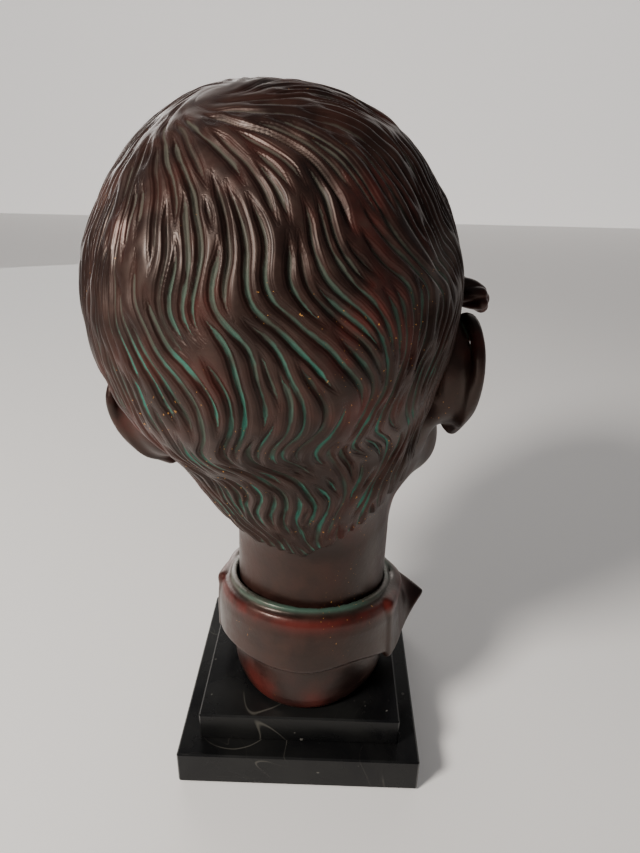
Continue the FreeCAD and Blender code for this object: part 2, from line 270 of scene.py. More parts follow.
def head_mass(x, y, z):
    """Skull, forehead, face and neck without their features."""
    mass = soft_min(SKULL[0](x, y, z), FOREHEAD[0](x, y, z), 14.0)
    mass = soft_min(mass, FACE_MASS[0](x, y, z), 18.0)
    mass = soft_min(mass, LOW_BACK[0](x, y, z), 16.0)
    return soft_min(mass, neck_distance(x, y, z), 14.0)


# ---------------------------------------------------------------- the face

def both_sides(points):
    """The same points for the right and for the left of the head."""
    for side in (-1.0, 1.0):
        yield [(side * x, y, z) for x, y, z in points]


def add_jaw_and_cheeks(clay):
    for hinge, corner, front in both_sides([(54, 2, -44), (43, -6, -76), (12, -66, -99)]):
        clay.add(rod(hinge, corner, 10, 12), 18)
        clay.add(rod(corner, front, 12, 13), 18)
    for bone, cheek, temple in both_sides([(43, -45, -30), (34, -58, -54), (80, -46, 12)]):
        clay.add(ellipsoid(bone, (18, 23, 17)), 18)
        clay.add(ellipsoid(cheek, (20, 20, 23)), 16)
        clay.cut(ellipsoid(temple, (12, 24, 26)), 16)
    clay.add(ellipsoid((0, -68, -101), (18, 17, 13)), 12)


def add_brow_and_sockets(clay):
    for socket, inner in both_sides([(31, -90, -11), (17, -86, -9)]):
        clay.cut(ellipsoid(socket, (18, 14, 12)), 9)
        clay.cut(ellipsoid(inner, (6, 9, 8)), 6)
    for brow in both_sides([(8, -82, 2), (22, -83, 7), (38, -77, 9), (51, -64, 3)]):
        clay.add(worm(brow, (4.5, 5.5, 5.5, 4)), 9)


EYE_CENTRE = (31.0, -68.0, -13.0)
EYE_RADIUS = 12.3
LID_THICK = 1.9
IRIS_X = 30
IRIS_RADIUS = 5.4


def lid_height(u, upper):
    """Height of a lid's edge above the eye's middle, u mm outward along the eye."""
    t = np.clip(u / 15.0, -1.0, 1.0)
    if upper:
        return 5.6 * (1.0 - t ** 2) * (1.0 - 0.22 * t) + 0.8 * t
    return -4.2 * (1.0 - t ** 2) * (1.0 + 0.18 * t) + 0.8 * t


def add_eye(clay, side):
    """Eyeball, two lids with a cut edge, and the fold above the upper lid."""
    centre = (side * EYE_CENTRE[0], EYE_CENTRE[1], EYE_CENTRE[2])
    ball = ellipsoid(centre, (EYE_RADIUS,) * 3)

    def lids(x, y, z):
        from_centre = np.sqrt((x - centre[0]) ** 2 + (y - centre[1]) ** 2 + (z - centre[2]) ** 2)
        shell = from_centre - EYE_RADIUS - LID_THICK
        outward = side * (x - centre[0])
        height = z - centre[2]
        opening = np.maximum(height - lid_height(outward, True), lid_height(outward, False) - height)
        opening = np.maximum(opening, y - centre[1] + 2.0)
        return soft_max(shell, -opening, 0.8)
    low = [c - EYE_RADIUS - 3 for c in centre]
    high = [c + EYE_RADIUS + 3 for c in centre]
    clay.add((lids, low, high), 2.2)
    clay.add(ball, 0.3)
    fold = ((18, -79, -8.5), (26, -83, -3.4), (35, -82, -3.2), (46, -70, -10))
    clay.cut(worm([(side * x, y, z) for x, y, z in fold], (0.5, 0.9, 0.9, 0.5)), 2.4)
    turns = np.arange(0, 2 * math.pi + 0.1, math.pi / 6)
    iris = [(side * IRIS_X + IRIS_RADIUS * math.cos(a), centre[1] - 11.4,
             centre[2] + 0.6 + IRIS_RADIUS * math.sin(a)) for a in turns]
    clay.cut(worm(iris, [0.55] * len(iris), 2), 0.5)
    pupil = (side * IRIS_X, centre[1] - 13.2, centre[2] + 0.8)
    clay.cut(ellipsoid(pupil, (2.4, 2.8, 2.4)), 0.6)


def add_nose(clay):
    clay.add(worm([(0, -80, 2), (0, -83, -9), (0, -90, -24), (0, -97, -38)], (7, 5.5, 6, 6.5)), 8)
    clay.add(ellipsoid((0, -98, -44), (8.5, 9, 8)), 5)
    for wing, nostril, flank in both_sides([(11, -88, -47.5), (5.8, -93, -54), (8, -86, -32)]):
        clay.add(ellipsoid(wing, (6.6, 9.5, 7)), 4)
        clay.add(ellipsoid(flank, (6, 7, 14)), 8)
        clay.cut(ellipsoid(nostril, (3.0, 5.2, 3.4)), 1.6)
    clay.add(rod((0, -98, -50), (0, -86, -56), 3.2, 3.6), 2.5)


def add_mouth(clay):
    clay.add(ellipsoid((0, -68, -74), (29, 21, 21)), 12)
    clay.cut(rod((0, -92, -57), (0, -93, -66), 1.6, 2.4), 4)
    upper = [(-23.5, -80, -74.6), (-13, -88.5, -71.6), (-4.5, -91.6, -69.8), (0, -91.6, -70.8),
             (4.5, -91.6, -69.8), (13, -88.5, -71.6), (23.5, -80, -74.6)]
    clay.add(worm(upper, (0.8, 2.6, 3.2, 3.0, 3.2, 2.6, 0.8)), 2.6)
    lower = [(-21, -80.5, -75.8), (-11, -87.4, -78.4), (0, -89.6, -79.6),
             (11, -87.4, -78.4), (21, -80.5, -75.8)]
    clay.add(worm(lower, (0.8, 3.8, 4.6, 3.8, 0.8)), 3)
    line = [(-24.5, -81.5, -75.2), (-13, -91.5, -74.2), (-5, -95, -73.6), (0, -95.5, -74.6),
            (5, -95, -73.6), (13, -91.5, -74.2), (24.5, -81.5, -75.2)]
    clay.cut(worm(line, (0.9, 1.0, 0.9, 0.9, 0.9, 1.0, 0.9)), 1.6)
    clay.cut(rod((-11, -92, -89.5), (11, -92, -89.5), 3.2, 3.2), 8)
    for corner, in both_sides([(26, -81, -75)]):
        clay.cut(ellipsoid(corner, (2.4, 3, 2.6)), 5)


# How far out each ear is rooted, its height, how much it stands off the head, and its outward lean
EAR_LEFT = (74.0, -41.0, 0.66, 0.10)
EAR_RIGHT = (68.0, -36.0, 0.34, 0.20)


def add_ear(clay, side):
    """Ear shell, hollowed in front, with its rim, inner fold, lobe and front flap."""
    out, height, splay, lean = EAR_LEFT if side > 0 else EAR_RIGHT
    hinge = np.array([side * out, 4.0, height])
    backward = np.array([side * splay, 0.88, -0.10])
    backward /= np.linalg.norm(backward)
    upward = np.array([side * lean, 0.16, 0.98])
    upward -= backward * (upward @ backward)
    upward /= np.linalg.norm(upward)
    outward = np.cross(backward, upward) * side
    frame_of_ear = np.column_stack([backward, upward, outward])

    def place(u, v, w):
        return tuple(hinge + frame_of_ear @ np.array([u, v, w], float))

    clay.add(ellipsoid(place(10, -2, 1.5), (15.5, 24, 3.4), frame_of_ear), 3)
    clay.add(ellipsoid(place(6, -1, -5), (15, 23, 9), frame_of_ear), 7)
    clay.add(ellipsoid(place(4, 13, -2.5), (12, 15, 6), frame_of_ear), 5)
    clay.add(ellipsoid(place(5, -24, 1.5), (7.5, 8, 3.6), frame_of_ear), 3)
    clay.cut(ellipsoid(place(10, 1, 8.2), (10, 17, 6), frame_of_ear), 2)
    rim = [place(*p) for p in ((3, -1, 3.5), (-2, 5, 4.5), (-3, 15, 5.5), (4, 24, 5.5), (14, 25, 5),
                               (23, 17, 4.2), (25, 4, 4), (22, -10, 3.6), (15, -21, 3.0), (8, -29, 2.4))]
    clay.add(worm(rim, (1.5, 2.2, 2.8, 3.0, 3.0, 2.9, 2.8, 2.6, 2.4, 2.6), 4), 1.6)
    fold = [place(*p) for p in ((9, 16, 4), (15, 8, 5), (16.5, -3, 5), (12, -13, 4.5), (7, -16, 4.5))]
    clay.add(worm(fold, (1.6, 2.2, 2.4, 2.2, 2.2), 4), 2)
    clay.add(ellipsoid(place(-1, -8, 4.8), (3.6, 5, 3), frame_of_ear), 2)
    clay.cut(ellipsoid(place(6.5, -4, 4), (6, 9.5, 6), frame_of_ear), 2)


def add_neck_forms(clay):
    """The two neck muscles and a soft throat under the jaw."""
    for side in (-1.0, 1.0):
        behind_ear = np.array([side * 56.0, 22.0, -52.0])
        base = (np.array([side * 14.0, -34.0, 84.0]) - HEAD_CENTRE) @ HEAD_TURNS
        middle = (behind_ear + base) / 2 + np.array([side * 2.0, 2.0, 0.0])
        clay.add(worm([behind_ear, middle, base], (6, 6, 5), 5), 12)
    throat = (np.array([0.0, -37.0, 112.0]) - HEAD_CENTRE) @ HEAD_TURNS
    clay.add(ellipsoid(throat, (10, 8, 13)), 12)


def sculpt_skin():
    """Face, ears and neck, cut away where the hair covers them."""
    clay = Clay((-100, -114, -172), (100, 112, 92), VOXEL)
    clay.field[:] = head_mass(*clay.everywhere())
    add_jaw_and_cheeks(clay)
    add_brow_and_sockets(clay)
    add_neck_forms(clay)
    add_mouth(clay)
    add_nose(clay)
    for side in (-1.0, 1.0):
        add_eye(clay, side)
        add_ear(clay, side)
    x, y, z = clay.everywhere()
    slope = 0.75 * (z - 76.0) + 0.66 * (y + 70.0)
    clay.field = np.maximum(clay.field, (slope + 0 * x).astype(np.float32))
    points, quads = clay.surface()
    return new_mesh("head_skin", head_to_world(points), quads)


# ---------------------------------------------------------------- the hair

STAR = np.array([0.0, 12.0, -4.0])
CROWN = np.array([1.0, 38.0, 86.0])
NAPE = np.array([2.0, 46.0, -122.0])
PARTING_X = 30.0
# Height of the hair's edge round the head, from the forehead (0 degrees) to the nape (180)
HAIRLINE_DEGREES = (0, 22, 38, 50, 60, 70, 77, 83, 89, 96, 104, 112, 121, 135, 150, 166, 180)
HAIRLINE_HEIGHT = (58, 60, 54, 42, 26, 8, -14, -24, -14, -8, -16, -42, -60, -72, -81, -90, -97)


def star_directions(cells):
    """Directions of an evenly divided cube blown up to a ball, with its quads."""
    ticks = np.tan(np.linspace(-math.pi / 4, math.pi / 4, cells + 1))
    u, v = np.meshgrid(ticks, ticks, indexing="ij")
    one = np.ones_like(u)
    sides = [(one, u, v), (-one, v, u), (v, one, u), (u, -one, v), (u, v, one), (v, u, -one)]
    points = np.concatenate([np.stack(side, -1).reshape(-1, 3) for side in sides])
    row = np.arange(cells)[:, None] * (cells + 1) + np.arange(cells)[None, :]
    quad = np.stack([row, row + cells + 1, row + cells + 2, row + 1], -1).reshape(-1, 4)
    quads = np.concatenate([quad + k * (cells + 1) ** 2 for k in range(6)])
    _, first, same = np.unique(np.round(points * 1e5).astype(np.int64), axis=0,
                               return_index=True, return_inverse=True)
    points = points[first]
    return points / np.linalg.norm(points, axis=1, keepdims=True), same.ravel()[quads]


def scalp(directions, start=150.0, rounds=40):
    """Where rays from the middle of the head leave the head's large masses."""
    radius = np.full(len(directions), start)
    for _ in range(rounds):
        points = STAR + directions * radius[:, None]
        radius -= 0.85 * head_mass(points[:, 0], points[:, 1], points[:, 2])
    return STAR + directions * radius[:, None]


def scalp_normals(points, step=0.6):
    slope = np.empty_like(points)
    for k in range(3):
        ahead, behind = points.copy(), points.copy()
        ahead[:, k] += step
        behind[:, k] -= step
        slope[:, k] = head_mass(*ahead.T) - head_mass(*behind.T)
    return slope / np.linalg.norm(slope, axis=1, keepdims=True)


def above_hairline(points):
    """How far a point of the scalp lies above the hair's edge."""
    degrees = np.degrees(np.arctan2(np.abs(points[:, 0]), -points[:, 1]))
    edge = np.interp(degrees, HAIRLINE_DEGREES, HAIRLINE_HEIGHT)
    return points[:, 2] - edge


def smooth_noise(points, size, seed=0.0):
    """Blender's smooth noise at each point, from about -1 to 1."""
    return np.array([noise.noise(Vector(p) / size + Vector((seed, 7.0 * seed, 3.0))) for p in points])


def unit(vectors):
    return vectors / np.maximum(np.linalg.norm(vectors, axis=1, keepdims=True), 1e-9)


# How far the hair sways from the way it is combed, in radians: its waves on the head's left, what
# its right adds to them, a smaller wander, and the whorl round the crown
WAVE_LEFT = 0.14
WAVE_RIGHT = 0.50
WANDER = 0.30
WHORL = 1.0
WHORL_REACH = 0.45


def combed_flow(points, from_crown):
    """The way the hair is combed: away from the crown, then to the nape, the sides or the fringe."""
    x, y, z = points.T
    away = points - CROWN
    home = NAPE - points
    behind = smooth_step(-30.0, 25.0, y)
    draw = behind * smooth_step(0.9, 2.1, from_crown)
    flow = unit(away) * (1.0 - 0.75 * draw)[:, None] + unit(home) * (1.1 * draw)[:, None]
    left = smooth_step(PARTING_X - 3.0, PARTING_X + 3.0, x)
    swept = np.stack([-0.75 + 1.75 * left, -0.62 + 0.3 * left, 0 * x - 0.2], -1)
    fringe = (1.0 - smooth_step(-15.0, 25.0, y)) * smooth_step(10.0, 50.0, z)
    flow = flow * (1.0 - fringe)[:, None] + swept * fringe[:, None]
    side = (1.0 - fringe) * (1.0 - smooth_step(0.0, 45.0, y))
    return flow + np.stack([0 * x, 0.7 * side, -0.9 * side], -1)


def hair_flow(points, normals):
    """The way the hair lies at each point of the scalp: as combed, with its waves and its whorl."""
    x, y, _ = points.T
    to_crown = unit((CROWN - STAR)[None, :])[0]
    from_crown = np.arccos(np.clip(unit(points - STAR) @ to_crown, -1, 1))
    flow = combed_flow(points, from_crown)
    flow = unit(flow - normals * np.sum(flow * normals, 1, keepdims=True))
    sideways = np.cross(normals, flow)
    run = from_crown / math.radians(140)
    drift = smooth_noise(points, 34.0, 1.0)
    wave = np.sin(2 * math.pi * (2.0 * run + 1.5 * run ** 2) + 2.2 * drift + 0.012 * x + 0.6)
    right_part = 1.0 - smooth_step(5.0, 50.0, x)
    strength = (WAVE_LEFT + WAVE_RIGHT * right_part) * smooth_step(0.18, 0.45, run)
    strength *= 1.0 - 0.55 * smooth_step(0.68, 0.9, run)
    strength *= 0.35 + 0.65 * smooth_step(-10, 40, y)
    wander = WANDER * smooth_noise(points, 10.0, 2.0)
    whorl = WHORL * np.exp(-(from_crown / WHORL_REACH) ** 2)
    angle = strength * wave + wander + whorl
    return unit(flow * np.cos(angle)[:, None] + sideways * np.sin(angle)[:, None])


def trace_hair(seeds, steps, stride):
    """Follow the flow from every seed at once; returns one row of points per step."""
    points = seeds.copy()
    rows = [points.copy()]
    for _ in range(steps):
        normals = scalp_normals(points)
        points = points + stride * hair_flow(points, normals)
        for _ in range(2):
            points -= normals * head_mass(*points.T)[:, None]
        rows.append(points.copy())
    return np.array(rows)


class Neighbours:
    """Points kept in boxes, to ask whether any lies near a place."""

    def __init__(self, size):
        self.size = size
        self.boxes = {}

    def key(self, point):
        return tuple(int(math.floor(c / self.size)) for c in point)

    def add(self, point):
        self.boxes.setdefault(self.key(point), []).append(tuple(point))

    def near(self, point, distance):
        a, b, c = self.key(point)
        px, py, pz = point
        limit = distance * distance
        for i in (a - 1, a, a + 1):
            for j in (b - 1, b, b + 1):
                for k in (c - 1, c, c + 1):
                    for qx, qy, qz in self.boxes.get((i, j, k), ()):
                        if (px - qx) ** 2 + (py - qy) ** 2 + (pz - qz) ** 2 < limit:
                            return True
        return False


def groove_gap(points):
    """Fine grooves over the top and left, broader locks low on the back and to the right."""
    broad = smooth_step(0.0, 40.0, points[:, 1]) * (1.0 - smooth_step(10.0, 45.0, points[:, 0]))
    broad *= 1.0 - smooth_step(40.0, 78.0, points[:, 2])
    gap = FINE_GAP + (BROAD_GAP - FINE_GAP) * broad
    return gap * (1.0 + 0.35 * smooth_noise(points, 16.0, 5.0))


def run_of_groove(rows, longest, apart, laid):
    """The part of a traced line that stays in the hair and clear of the grooves already laid."""
    edge = above_hairline(rows[:longest + 1])
    run = []
    for step in range(1, longest + 1):
        if edge[step] < -GROOVE_PAST_EDGE or laid.near(rows[step], apart):
            break
        run.append(rows[step])
    return run


def lay_grooves(surface):
    """Grooves between the locks, spaced over the scalp, each ending where it meets another."""
    rng = random.Random(11)
    covered = np.nonzero(above_hairline(surface) > 0.0)[0]
    seeds = surface[[covered[rng.randrange(len(covered))] for _ in range(GROOVE_SEEDS)]]
    ahead = trace_hair(seeds, LONGEST_RUN, GROOVE_STRIDE)
    back = trace_hair(seeds, LONGEST_RUN, -GROOVE_STRIDE)
    laid = Neighbours(BROAD_GAP * 1.4)
    grooves = []
    for k, gap in enumerate(groove_gap(seeds)):
        if laid.near(seeds[k], max(LEAST_GAP, gap)):
            continue
        apart = max(LEAST_GAP, 0.74 * gap)
        runs = [run_of_groove(rows[:, k], rng.randint(SHORTEST_RUN, LONGEST_RUN), apart, laid)
                for rows in (ahead, back)]
        groove = runs[1][::-1] + [seeds[k]] + runs[0]
        if len(groove) < SHORTEST_GROOVE:
            continue
        for point in groove:
            laid.add(point)
        grooves.append(np.array(groove))
    return grooves


def abreast(surface, tree, place, tangent):
    """Points of the scalp abreast of a place on a groove: which, how far off, and on which side."""
    index = np.array([item[1] for item in tree.find_range(place, GROOVE_REACH + 0.4)], int)
    offset = surface[index] - place
    along = offset @ tangent
    offset -= along[:, None] * tangent
    apart = np.linalg.norm(offset, axis=1)
    inside = (apart < GROOVE_REACH) & (np.abs(along) < 1.0)
    side = np.sign(offset[inside] @ np.cross(place - STAR, tangent))
    return index[inside], apart[inside], side


def carve_grooves(surface, grooves):
    """Depth cut at each point, its place across the nearest groove, and how dusty that groove is."""
    rng = random.Random(5)
    tree = kdtree.KDTree(len(surface))
    for index, point in enumerate(surface):
        tree.insert(point, index)
    tree.balance()
    depth = np.zeros(len(surface))
    near = np.full(len(surface), GROOVE_REACH)
    across = np.zeros(len(surface))
    dusty = np.zeros(len(surface))
    for groove in grooves:
        count = len(groove)
        held = rng.uniform(0.1, 1.0)
        tangents = unit(np.gradient(groove, axis=0))
        deep = rng.uniform(0.55, 1.0)
        ends = np.minimum(np.arange(count), np.arange(count)[::-1])
        taper = np.clip((ends + 0.5) / 6.0, 0.0, 1.0)
        for k in range(count):
            index, apart, side = abreast(surface, tree, groove[k], tangents[k])
            narrow = np.exp(-(apart / 1.0) ** 2)
            shoulder = (1.0 - (apart / GROOVE_REACH)) ** 2
            cut = deep * taper[k] * (0.45 * narrow + 0.55 * shoulder)
            depth[index] = np.maximum(depth[index], cut)
            apart = apart + 1.6 * (1.0 - taper[k])
            nearer = apart < near[index]
            index = index[nearer]
            near[index] = apart[nearer]
            across[index] = side[nearer] * apart[nearer]
            dusty[index] = held
    return depth, near, across, dusty


def settle(values, quads, rounds=2):
    """Even out a number over the mesh, each point with its neighbours."""
    ends = np.concatenate([quads[:, [k, (k + 1) % 4]] for k in range(4)])
    ends = np.concatenate([ends, ends[:, ::-1]])
    count = np.bincount(ends[:, 0], minlength=len(values))
    for _ in range(rounds):
        around = np.bincount(ends[:, 0], weights=values[ends[:, 1]], minlength=len(values))
        values = 0.5 * values + 0.5 * around / np.maximum(count, 1)
    return values


def cap_inside(obj, inner):
    """Close an open edge with a cone to a point inside the head."""
    work = bmesh.new()
    work.from_mesh(obj.data)
    rim = [edge for edge in work.edges if edge.is_boundary]
    made = bmesh.ops.extrude_edge_only(work, edges=rim)["geom"]
    tips = [item for item in made if isinstance(item, bmesh.types.BMVert)]
    bmesh.ops.pointmerge(work, verts=tips, merge_co=Vector(inner) * MM)
    bmesh.ops.recalc_face_normals(work, faces=work.faces)
    work.to_mesh(obj.data)
    work.free()


def sculpt_hair():
    """The whole head of hair as one closed shell, grooved between its locks."""
    directions, quads = star_directions(HAIR_CELLS)
    surface = scalp(directions)
    normals = scalp_normals(surface)
    edge = above_hairline(surface)
    depth, near, across, dusty = carve_grooves(surface, lay_grooves(surface))
    depth = settle(depth, quads)
    from_crown = np.linalg.norm(surface - CROWN, axis=1)
    settled = smooth_step(2.0, 24.0, from_crown + 10.0 * smooth_noise(surface, 12.0, 8.0))
    high_left = smooth_step(0.0, 40.0, surface[:, 0]) * smooth_step(-10.0, 30.0, surface[:, 2])
    settled *= 1.0 - 0.40 * high_left
    depth *= settled
    near += 2.0 * (1.0 - settled)
    edge_of_locks = edge - 0.8 * depth
    nape = smooth_step(-25.0, -85.0, surface[:, 2]) * smooth_step(0.0, 30.0, surface[:, 1])
    full = HAIR_THICK * (1.0 - 0.45 * nape) + 1.3 * smooth_noise(surface, 24.0, 9.0)
    full += 0.5 * smooth_noise(surface, 9.0, 4.0)
    base = -EDGE_BURIED + (full + EDGE_BURIED) * smooth_step(-4.0, 5.0, edge_of_locks)
    cut = GROOVE_DEPTH * depth * smooth_step(-3.0, 8.0, edge)
    points = surface + normals * (base - cut)[:, None]
    kept = edge > -SHELL_PAST_EDGE
    quads = quads[kept[quads].any(axis=1)]
    used, quads = np.unique(quads, return_inverse=True)
    quads = quads.reshape(-1, 4)
    hair = new_mesh("hair", head_to_world(points[used]), quads)
    store(hair, "depth", depth[used])
    store(hair, "near", near[used])
    store(hair, "across", across[used])
    store(hair, "dusty", dusty[used])
    cap_inside(hair, head_to_world(STAR[None, :])[0])
    return hair


# ---------------------------------------------------------------- the collar and foot

FOOT_PROFILE_Z = (36.8, 39.0, 44.0, 52.0, 62.0, 100.0)
FOOT_PROFILE_WIDTH = (37.6, 38.8, 39.8, 40.6, 41.4, 41.4)
# The collar's rim slopes down to the front; its heights are those at the sides
RIM_SLOPE = 0.225
RIM_HEIGHT = 91.5
LEAF_PROFILE_Z = (40.0, 54.0, 68.0, 78.0, 84.0, 87.5, 89.5)
LEAF_PROFILE_WIDTH = (48.4, 48.2, 47.6, 46.8, 45.8, 44.2, 41.5)
DEEPER = NECK_HALF_DEPTH - NECK_HALF_WIDTH
WING_TOP = ((42.6, 16.0, 88.6), (43.2, 2.0, 85.6), (41.0, -18.0, 83.5), (15.0, -45.5, 80.5))
WING_HEM = ((44.4, 18.0, 60.0), (46.6, 4.0, 57.0), (50.5, -14.0, 57.5), (56.5, -32.0, 62.5))
# The leaf's hem is at HEM_SIDE at the sides and rises to HEM_BACK at the nape
HEM_SIDE = 55.0
HEM_BACK = 69.5
HEM_BACK_V = 46.0
# The V between the collar's ends, and the buttoned strip below it
OPENING_FOOT = 66.0
OPENING_SPREAD = 0.86
OPENING_BACK = -26.0
PLACKET_HALF_WIDTH = 7.0
PLACKET_BACK = -20.0
PLACKET_TOP = 65.0
PLACKET_PROUD = 1.1
BUTTON_R = 4.6
BUTTON_Z = 54
# Inside: the hollow foot, and above it the socket that the neck stands in
FOOT_WALL = 5.0
CAVITY_TOP = 61.0
SOCKET_FLOOR = 60.0
SOCKET_GAP = 0.6


def oval(u, v, half_width):
    """Distance in plan from an upright oval of a given half-width."""
    half_depth = half_width + DEEPER
    return (np.sqrt((u / half_width) ** 2 + (v / half_depth) ** 2) - 1.0) * (half_width + half_depth) / 2


def add_placket(clay, foot):
    """The buttoned strip on the foot's front, and its button with a rim and two holes."""
    u, v, z = clay.everywhere()
    strip = np.maximum(np.abs(u) - PLACKET_HALF_WIDTH, v - PLACKET_BACK)
    strip = np.maximum(strip, z - PLACKET_TOP)
    clay.field = soft_min(clay.field, np.maximum(foot - PLACKET_PROUD, strip), 1.4)
    front = -(np.interp(BUTTON_Z, FOOT_PROFILE_Z, FOOT_PROFILE_WIDTH) + DEEPER)
    clay.add(ellipsoid((0, front - 1.0, BUTTON_Z), (BUTTON_R, 2.2, BUTTON_R)), 0.6)
    clay.cut(ellipsoid((0, front - 3.6, BUTTON_Z), (2.9, 1.3, 2.9)), 0.5)
    for hole in (-0.9, 0.9):
        clay.cut(ellipsoid((hole, front - 2.4, BUTTON_Z), (0.6, 1.6, 0.6)), 0.3)


def add_wing(clay, side):
    """One pointed end of the collar, a thin sheet with a rolled top edge."""
    top, _ = smooth_path([(side * a, b, c) for a, b, c in WING_TOP], [0] * 4, 9)
    low, _ = smooth_path([(side * a, b, c) for a, b, c in WING_HEM], [0] * 4, 9)
    for start, end in zip(top, low):
        clay.add(rod(start, end, 2.4, 1.7), 2.0)
    clay.add(worm(top, np.linspace(2.6, 3.4, len(top)), 1), 3.0)


def sculpt_collar():
    """Foot and turned-down collar, about the neck's axis, with +u to the head's left."""
    clay = Clay((-66, -60, FOOT_Z - 2.5), (66, 62, 106), COLLAR_VOXEL)
    u, v, z = clay.everywhere()
    rim_height = z - RIM_SLOPE * v
    foot = oval(u, v, np.interp(z, FOOT_PROFILE_Z, FOOT_PROFILE_WIDTH))
    foot = soft_max(foot, FOOT_Z - z, 1.2)
    foot = soft_max(foot, rim_height - RIM_HEIGHT, 2.0)
    hem = HEM_SIDE + (HEM_BACK - HEM_SIDE) * smooth_step(0.0, HEM_BACK_V, v) + 0.8 * np.sin(u / 9.0)
    leaf = oval(u, v, np.interp(rim_height, LEAF_PROFILE_Z, LEAF_PROFILE_WIDTH))
    leaf = soft_max(leaf, hem - z, 2.4)
    leaf = soft_max(leaf, rim_height - RIM_HEIGHT + 1.6, 4.5)
    leaf = soft_max(leaf, -2.0 - v, 6.0)
    clay.field = (soft_min(foot, leaf, 1.4)).astype(np.float32)
    ring = np.sqrt(oval(u, v, 43.2) ** 2 + (rim_height - RIM_HEIGHT + 0.2) ** 2) - 1.4
    clay.field = soft_max(clay.field, -ring, 1.4)
    for side in (-1.0, 1.0):
        add_wing(clay, side)
    opening = np.maximum(np.abs(u) - OPENING_SPREAD * (z - OPENING_FOOT), v - OPENING_BACK)
    clay.field = soft_max(clay.field, -opening, 2.2)
    add_placket(clay, foot)
    lump = 0.5 * np.sin(u / 11.0 + z / 17.0) * np.sin(v / 13.0 - z / 9.0)
    clay.field += lump.astype(np.float32)
    socket = soft_max(oval(u, v, NECK_HALF_WIDTH + SOCKET_GAP), SOCKET_FLOOR - z, 1.0)
    inside_foot = oval(u, v, np.interp(z, FOOT_PROFILE_Z, FOOT_PROFILE_WIDTH) - FOOT_WALL)
    cavity = np.maximum(inside_foot, z - CAVITY_TOP)
    clay.field = np.maximum(clay.field, -np.minimum(socket, cavity))
    points, quads = clay.surface()
    below_rim = points[:, 2] - RIM_SLOPE * points[:, 1] - RIM_HEIGHT
    outward = oval(points[:, 0], points[:, 1], 42.0)
    points = points @ NECK_TURN.T + np.array([BUST_X, NECK_CENTRE_Y, 0.0])
    collar = new_mesh("collar", points, quads)
    store(collar, "dust", np.exp(-((below_rim + 0.8) / 1.3) ** 2) * smooth_step(3.5, 0.5, outward))
    # red band along the roll below the rim: partly rubbed bronze, partly a painted highlight
    store(collar, "rubbed_and_painted_highlight", np.exp(-((below_rim + 6.0) / 4.0) ** 2) * smooth_step(0.5, 3.0, outward))
    return collar


def sculpt_lock():
    """The rolled lock above the right ear: five strands twisted together, with a round end."""
    clay = Clay((-104, -30, -34), (-62, 10, 16), LOCK_VOXEL)
    axis, girth = smooth_path([(-66, -13, 0), (-75, -12, -4), (-82, -10, -7), (-86.5, -8, -9.5)],
                              (8.0, 7.6, 7.2, 6.6), 8)
    strands = 5
    for k in range(strands):
        turn = 2 * math.pi * k / strands + 2.2 * np.linspace(0, 1, len(axis))
        twist = np.stack([0 * turn, np.cos(turn), np.sin(turn)], -1)
        clay.add(worm(axis + twist * (0.52 * girth)[:, None], 0.47 * girth, 1), 0.5)
    clay.add(worm(axis, 0.6 * girth, 1), 0.5)
    points, quads = clay.surface()
    return new_mesh("hair_lock_right", head_to_world(points), quads)


# ---------------------------------------------------------------- materials

